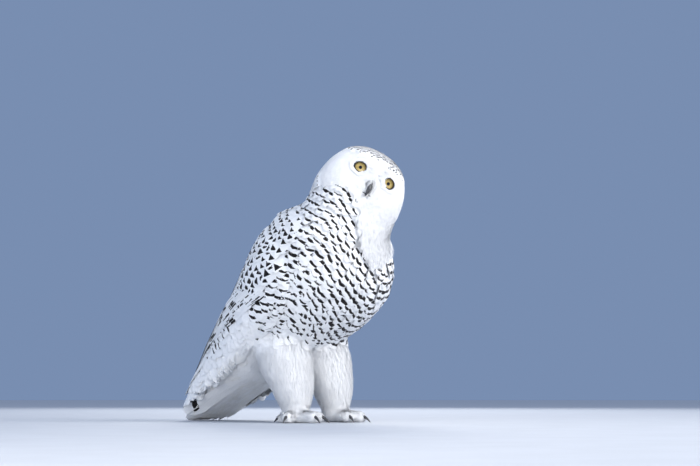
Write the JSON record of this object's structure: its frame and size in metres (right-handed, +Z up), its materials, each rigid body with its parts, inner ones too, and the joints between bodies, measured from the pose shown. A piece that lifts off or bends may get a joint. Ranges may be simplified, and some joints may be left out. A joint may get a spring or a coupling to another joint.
{
  "type": "snowy owl",
  "caption": "Life-size snowy owl standing still, its wings folded, its tail tip on the ground and its head turned and tilted towards the viewer.",
  "frame": {"origin": "on the ground, under the middle of the owl's bounding box", "axes": "the owl's body faces -Y and its tail points to +Y; its left side is at +X and its right side at -X; +Z is up"},
  "size_m": [0.2404, 0.447, 0.4187],
  "materials": {
    "white_down": "soft white feathers",
    "barred_coat": "white feathers with dark bars and spots",
    "eye": "wet yellow iris with a black pupil",
    "horn": "black horn"
  },
  "bodies": {
    "root": {"head": "white_down", "neck": "white_down", "trunk": "barred_coat", "tail": "white_down", "wing_right": "barred_coat", "wing_left": "barred_coat", "leg_right": "white_down", "leg_left": "white_down", "foot_right": "white_down", "foot_left": "white_down", "eye_right": "eye", "eye_left": "eye", "bill_upper": "horn", "bill_lower": "horn", "claw_inner_right": "horn", "claw_middle_right": "horn", "claw_outer_right": "horn", "claw_hind_right": "horn", "claw_inner_left": "horn", "claw_middle_left": "horn", "claw_outer_left": "horn", "claw_hind_left": "horn"}
  },
  "joints": []
}
